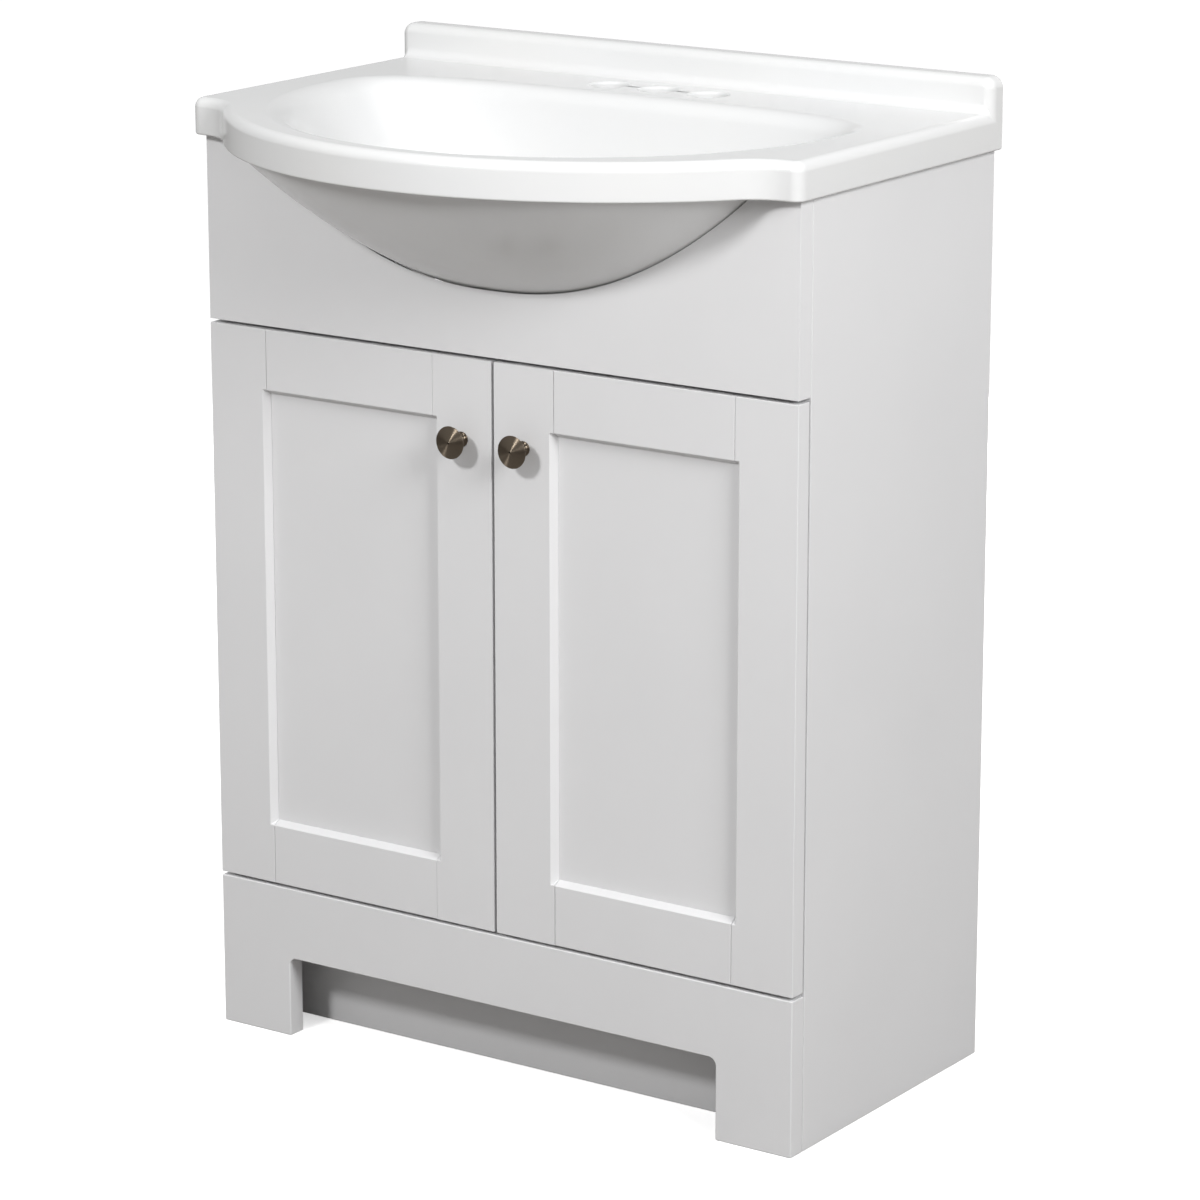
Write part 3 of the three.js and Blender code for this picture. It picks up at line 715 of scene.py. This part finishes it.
def unwrap_turning(piece, centre):
    """Gives a piece turned about y a map: round the axis one way, along its outline the other."""
    turning = piece.data.uv_layers.new(name="turning")
    for face in piece.data.polygons:
        middle = math.atan2(face.center.z - centre.z, face.center.x - centre.x)
        for corner in face.loop_indices:
            point = piece.data.vertices[piece.data.loops[corner].vertex_index].co
            out = math.hypot(point.x - centre.x, point.z - centre.z)
            angle = middle
            if out > 0.0001:
                angle = math.atan2(point.z - centre.z, point.x - centre.x)
                angle += 2 * math.pi * round((middle - angle) / (2 * math.pi))
            turning.data[corner].uv = (angle / (2 * math.pi), out - point.y)


# foot, cove up to the neck, flare out to the back of the head, rim, coned face
KNOB_OUTLINE = [
    (0.0062, 0), (0.0062, 0.0003, 90, 3), (0, 0.0006), (0.0062, 0.0009, 90, 3),
    (-0.0001, 0), (0.0061, 0.0026, -90, 8), (0, 0.0040), (0.0098, 0.0079, -90, 10), (0.0033, 0.0033),
    (0.0128, 0.0168, 160, 14), (-0.0131, 0.0023),
]

for side in ("left", "right"):
    knob_low, knob_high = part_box(f"knob_{side}")
    centre = (knob_low + knob_high) / 2
    knob = lathe(f"{side}_nickel_knob", KNOB_OUTLINE, (centre.x, knob_high.y, centre.z), (0, -1, 0), 72)
    unwrap_turning(knob, centre)
    smooth(knob, 25)
    fit(knob, NICKEL_PLATE, "knob_metal", f"door_{side}", f"knob_{side}")


# ------------------------------------------------------------------------------ screws
# Pan-head screws of zinc-plated steel with a cross recess: one through each door into its knob, two
# in every hinge plate, two in every hinge cup and two that adjust the arm.

ZINC_BRIGHT = "#c9ccd0"
ZINC_DULL = "#aeb2b6"
ZINC_CLOUD = 0.0030


def plated_steel():
    """Pressed steel with a bright nickel flash: cool grey, softly cloudy, with faint press marks."""
    steel, output = new_material("nickel_plated_steel")
    place = add_node(steel, "ShaderNodeTexCoord").outputs["Object"]
    cloud = add_node(steel, "ShaderNodeTexNoise", {"Scale": 1 / ZINC_CLOUD, "Detail": 3.0},
                     {"Vector": place})
    tint = add_node(steel, "ShaderNodeMix",
                    {"data_type": "RGBA", 6: linear(ZINC_DULL), 7: linear(ZINC_BRIGHT)},
                    {0: cloud.outputs["Fac"]})
    gloss = add_node(steel, "ShaderNodeMapRange", {"To Min": 0.22, "To Max": 0.42},
                     {"Value": cloud.outputs["Fac"]})
    marks = add_node(steel, "ShaderNodeBump", {"Strength": 0.1, "Distance": 0.0001},
                     {"Height": cloud.outputs["Fac"]})
    shader = add_node(steel, "ShaderNodeBsdfPrincipled", {"Metallic": 1.0},
                      {"Base Color": tint.outputs[2], "Roughness": gloss.outputs[0],
                       "Normal": marks.outputs[0]})
    show(steel, output, shader)
    return steel


PLATED_STEEL = plated_steel()
HEAD_WALL = 0.35                    # the share of a screw head's height that stands straight
CROSS_WIDTH = 0.0009
CROSS_SPAN = 0.0046
CROSS_DEPTH = 0.0014
KNOB_SCREW_LENGTH = 0.020


def screw(name, place, towards, head=0.0042, rise=0.0022, shank=0.002, length=0.011):
    """A pan-head screw whose head sits on place and faces towards."""
    wall, dome = rise * HEAD_WALL, rise * (1 - HEAD_WALL)
    outline = [(0, -length), (shank, 0), (0, length), (head - shank, 0), (0, wall)]
    outline += [(head - dome, wall, 90, 6), (dome - head, 0)]
    piece = lathe(name, outline, (0, 0, 0), (0, 0, 1), 32)
    for reach in (Vector((CROSS_SPAN, CROSS_WIDTH, 0)), Vector((CROSS_WIDTH, CROSS_SPAN, 0))):
        slot_low = Vector((0, 0, rise - CROSS_DEPTH)) - reach / 2
        slot_high = Vector((0, 0, rise + 0.001)) + reach / 2
        cut(piece, block("cross_cutter", slot_low, slot_high))
    piece.rotation_euler = Vector(towards).to_track_quat("Z", "Y").to_euler()
    piece.location = place
    bpy.ops.object.select_all(action="DESELECT")
    piece.select_set(True)
    bpy.context.view_layer.objects.active = piece
    bpy.ops.object.transform_apply(location=True, rotation=True)
    smooth(piece)
    piece.data.materials.append(PLATED_STEEL)
    return piece


for side in ("left", "right"):
    screw_low, screw_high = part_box(f"knob_{side}_screw")
    axis_x, axis_z = (screw_low.x + screw_high.x) / 2, (screw_low.z + screw_high.z) / 2
    seat_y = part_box(f"door_{side}_inner_stile")[1].y
    knob_screw = screw(f"{side}_knob_machine_screw", (axis_x, seat_y, axis_z), (0, 1, 0),
                       length=KNOB_SCREW_LENGTH)
    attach(knob_screw, f"door_{side}")
    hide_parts(f"knob_{side}_screw")


# ------------------------------------------------------------------------------ hinges
# Four concealed hinges of pressed, nickel-plated steel. A cup is let into the door, a link joins it to
# an arm, and the arm is hooked on a cross-shaped plate that is screwed to the side.

PRESSED_EASE = 0.00035
FLANGE_INSET = 0.007                # from the end of a cup's flange to its screw
FLANGE_OFFSET = 0.003
CUP_SCREW = {"head": 0.0034, "rise": 0.0014, "shank": 0.0017, "length": 0.0011}
ARM_HUMP = 0.004                    # the arm's highest point above the flat that holds its screws
ARM_SCREWS = {"side": 0.033, "depth": 0.011}    # from the arm's rear end to each screw
ARM_SCREW = {"head": 0.0036, "rise": 0.0012, "length": 0.002}


def pressed(node, name, body):
    """The node's own shape as pressed metal, with the soft edges that a press leaves."""
    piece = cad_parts[node].copy()
    piece.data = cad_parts[node].data.copy()
    piece.name = piece.data.name = name
    for key in list(piece.keys()):
        del piece[key]
    piece.parent = None
    bpy.context.scene.collection.objects.link(piece)
    edit(piece)
    bpy.ops.mesh.select_mode(type="VERT")
    bpy.ops.mesh.select_all(action="SELECT")
    bpy.ops.mesh.remove_doubles(threshold=0.00001)
    bpy.ops.mesh.dissolve_limited(angle_limit=math.radians(1))
    bpy.ops.object.mode_set(mode="OBJECT")
    ease(piece, PRESSED_EASE, 50)
    smooth(piece, 40)
    fit(piece, PLATED_STEEL, "hinge_steel", body, node)
    return piece


for side, sign in (("left", -1), ("right", 1)):
    for place in ("bottom", "top"):
        tag = f"hinge_{side}_{place}"
        cup_low, cup_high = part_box(f"{tag}_cup")
        for end, height in (("lower", cup_low.z + FLANGE_INSET), ("upper", cup_high.z - FLANGE_INSET)):
            seat = (sign * (abs(cup_low.x + cup_high.x) / 2 - FLANGE_OFFSET), cup_high.y, height)
            cup_screw = screw(f"{side}_{place}_cup_{end}_screw", seat, (0, 1, 0), **CUP_SCREW)
            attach(cup_screw, f"door_{side}")
        pressed(f"{tag}_cup", f"{side}_{place}_hinge_cup", f"door_{side}")
        pressed(f"{tag}_link", f"{side}_{place}_hinge_link", f"hinge_links_{side}")
        pressed(f"{tag}_plate", f"{side}_{place}_hinge_plate", "cabinet")
        pressed(f"{tag}_arm", f"{side}_{place}_hinge_arm", "cabinet")
        arm_low, arm_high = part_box(f"{tag}_arm")
        arm_face = min(abs(arm_low.x), abs(arm_high.x)) + ARM_HUMP
        for use, back in ARM_SCREWS.items():
            seat = (sign * arm_face, arm_high.y - back, (arm_low.z + arm_high.z) / 2)
            arm_screw = screw(f"{side}_{place}_arm_{use}_screw", seat, (-sign, 0, 0), **ARM_SCREW)
            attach(arm_screw, "cabinet")
        plate_low, plate_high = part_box(f"{tag}_plate")
        plate_face = plate_low.x if sign > 0 else plate_high.x
        for end in ("lower", "upper"):
            screw_low, screw_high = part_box(f"{tag}_{end}_screw")
            seat = (plate_face, (screw_low.y + screw_high.y) / 2, (screw_low.z + screw_high.z) / 2)
            plate_screw = screw(f"{side}_{place}_plate_{end}_screw", seat, (-sign, 0, 0))
            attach(plate_screw, "cabinet")
            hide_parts(f"{tag}_{end}_screw")


# ------------------------------------------------------------------------------ bumpers
# Two small domes of clear cast polyurethane stick to the back of each door near its free edge, so
# that it closes without a knock.

BUMPER_CLEAR = "#e8eaec"
BUMPER_HAZE = 0.0025
BUMPER_WALL = 0.35                  # the share of a bumper's height that stands straight


def soft_bumper():
    """Cast polyurethane: nearly clear, soft and a little cloudy."""
    plastic, output = new_material("clear_polyurethane")
    place = add_node(plastic, "ShaderNodeTexCoord").outputs["Object"]
    haze = add_node(plastic, "ShaderNodeTexNoise", {"Scale": 1 / BUMPER_HAZE}, {"Vector": place})
    gloss = add_node(plastic, "ShaderNodeMapRange", {"To Min": 0.25, "To Max": 0.4},
                     {"Value": haze.outputs["Fac"]})
    shader = add_node(plastic, "ShaderNodeBsdfPrincipled",
                      {"Base Color": linear(BUMPER_CLEAR), "IOR": 1.47, "Transmission Weight": 0.5},
                      {"Roughness": gloss.outputs[0]})
    show(plastic, output, shader)
    return plastic


CLEAR_PLASTIC = soft_bumper()

for side in ("left", "right"):
    for place in ("top", "bottom"):
        node = f"door_{side}_{place}_bumper"
        low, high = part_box(node)
        reach, radius = high.y - low.y, (high.x - low.x) / 2
        wall, dome = reach * BUMPER_WALL, reach * (1 - BUMPER_WALL)
        outline = [(radius, 0), (0, wall), (radius - dome, wall, 90, 6), (dome - radius, 0)]
        spot = ((low.x + high.x) / 2, low.y, (low.z + high.z) / 2)
        bumper = lathe(f"{side}_{place}_door_bumper", outline, spot, (0, 1, 0), 32)
        smooth(bumper)
        fit(bumper, CLEAR_PLASTIC, "bumper", f"door_{side}", node)


# ------------------------------------------------------------------------------ studio
# A pale floor, a white surround and soft panels of light: a high one in front, a broad one from the
# right and a low one behind, with a little even light from above.

CAMERA_PLACE = Vector((2.195, -3.128, 1.423))
CAMERA_TURN = 34.37
CAMERA_DIP = 14.76
LENS = 139.3
FLOOR_PALE = "#ffffff"
FLOOR_GLOW = "#8c8986"
FLOOR_LIFT = 0.52
SKY_LIGHT = 0.38
SKY_GLOSS = 0.25                    # how much brighter the surround is in reflections

camera_data = bpy.data.cameras.new("camera")
camera_data.lens = LENS
camera = bpy.data.objects.new("camera", camera_data)
camera.location = CAMERA_PLACE
camera.rotation_euler = (math.radians(90 - CAMERA_DIP), 0, math.radians(CAMERA_TURN))
bpy.context.scene.collection.objects.link(camera)
bpy.context.scene.camera = camera
bpy.context.scene.view_settings.view_transform = "Standard"


def soft_light(name, place, aim, size, watts):
    """A square soft panel at place, facing aim."""
    lamp = bpy.data.lights.new(name, "AREA")
    lamp.shape = "SQUARE"
    lamp.size = size
    lamp.energy = watts
    holder = bpy.data.objects.new(name, lamp)
    holder.location = place
    holder.rotation_euler = (Vector(aim) - Vector(place)).to_track_quat("-Z", "Y").to_euler()
    bpy.context.scene.collection.objects.link(holder)


def broad_light(name, travel, degrees, strength):
    """Even light from far away along a direction, as soft as the angle that its source fills."""
    lamp = bpy.data.lights.new(name, "SUN")
    lamp.angle = math.radians(degrees)
    lamp.energy = strength
    holder = bpy.data.objects.new(name, lamp)
    holder.rotation_euler = Vector(travel).to_track_quat("-Z", "Y").to_euler()
    bpy.context.scene.collection.objects.link(holder)


soft_light("key_front", (-0.35, -2.2, 1.95), (0, 0, 0.75), 0.35, 31)
soft_light("fill_right", (2.3, -0.85, 1.9), (0.3, 0, 0.75), 1.0, 56)
soft_light("fill_back", (-1.3, 2.5, 0.45), (0, 0.1, 0.45), 0.8, 32)
broad_light("overhead", (0.05, 0.1, -1), 60, 0.4)

surround = bpy.data.worlds.new("white_surround")
surround.use_nodes = True
sky_nodes, sky_links = surround.node_tree.nodes, surround.node_tree.links
glow = sky_nodes["Background"]
glow.inputs["Color"].default_value = linear("#ffffff")
seen = sky_nodes.new("ShaderNodeBackground")
seen.inputs["Color"].default_value = linear("#ffffff")
seen.inputs["Strength"].default_value = 1.0
blend_sky = sky_nodes.new("ShaderNodeMixShader")
rays = sky_nodes.new("ShaderNodeLightPath")
gloss_lift = sky_nodes.new("ShaderNodeMath")
gloss_lift.operation = "MULTIPLY_ADD"
gloss_lift.inputs[1].default_value = SKY_GLOSS
gloss_lift.inputs[2].default_value = SKY_LIGHT
sky_links.new(rays.outputs["Is Glossy Ray"], gloss_lift.inputs[0])
sky_links.new(gloss_lift.outputs[0], glow.inputs["Strength"])
sky_links.new(rays.outputs["Is Camera Ray"], blend_sky.inputs[0])
sky_links.new(glow.outputs[0], blend_sky.inputs[1])
sky_links.new(seen.outputs[0], blend_sky.inputs[2])
sky_links.new(blend_sky.outputs[0], sky_nodes["World Output"].inputs["Surface"])
bpy.context.scene.world = surround

bpy.ops.mesh.primitive_plane_add(size=30)
floor = bpy.context.object
floor.name = floor.data.name = "studio_floor"
pale, pale_output = new_material("pale_studio_floor")
direct_view = add_node(pale, "ShaderNodeLightPath").outputs["Is Camera Ray"]
tone = add_node(pale, "ShaderNodeMix", {"data_type": "RGBA", 6: linear(FLOOR_GLOW), 7: linear(FLOOR_PALE)},
                {0: direct_view})
lit = add_node(pale, "ShaderNodeBsdfPrincipled", {"Roughness": 0.9}, {"Base Color": tone.outputs[2]})
lift = add_node(pale, "ShaderNodeMath", {"operation": "MULTIPLY", 1: FLOOR_LIFT}, {0: direct_view})
glowing = add_node(pale, "ShaderNodeEmission", None, {"Strength": lift.outputs[0]})
show(pale, pale_output, add_node(pale, "ShaderNodeAddShader", None,
                                 {0: lit.outputs[0], 1: glowing.outputs[0]}))
floor.data.materials.append(pale)
floor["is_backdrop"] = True

low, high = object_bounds()
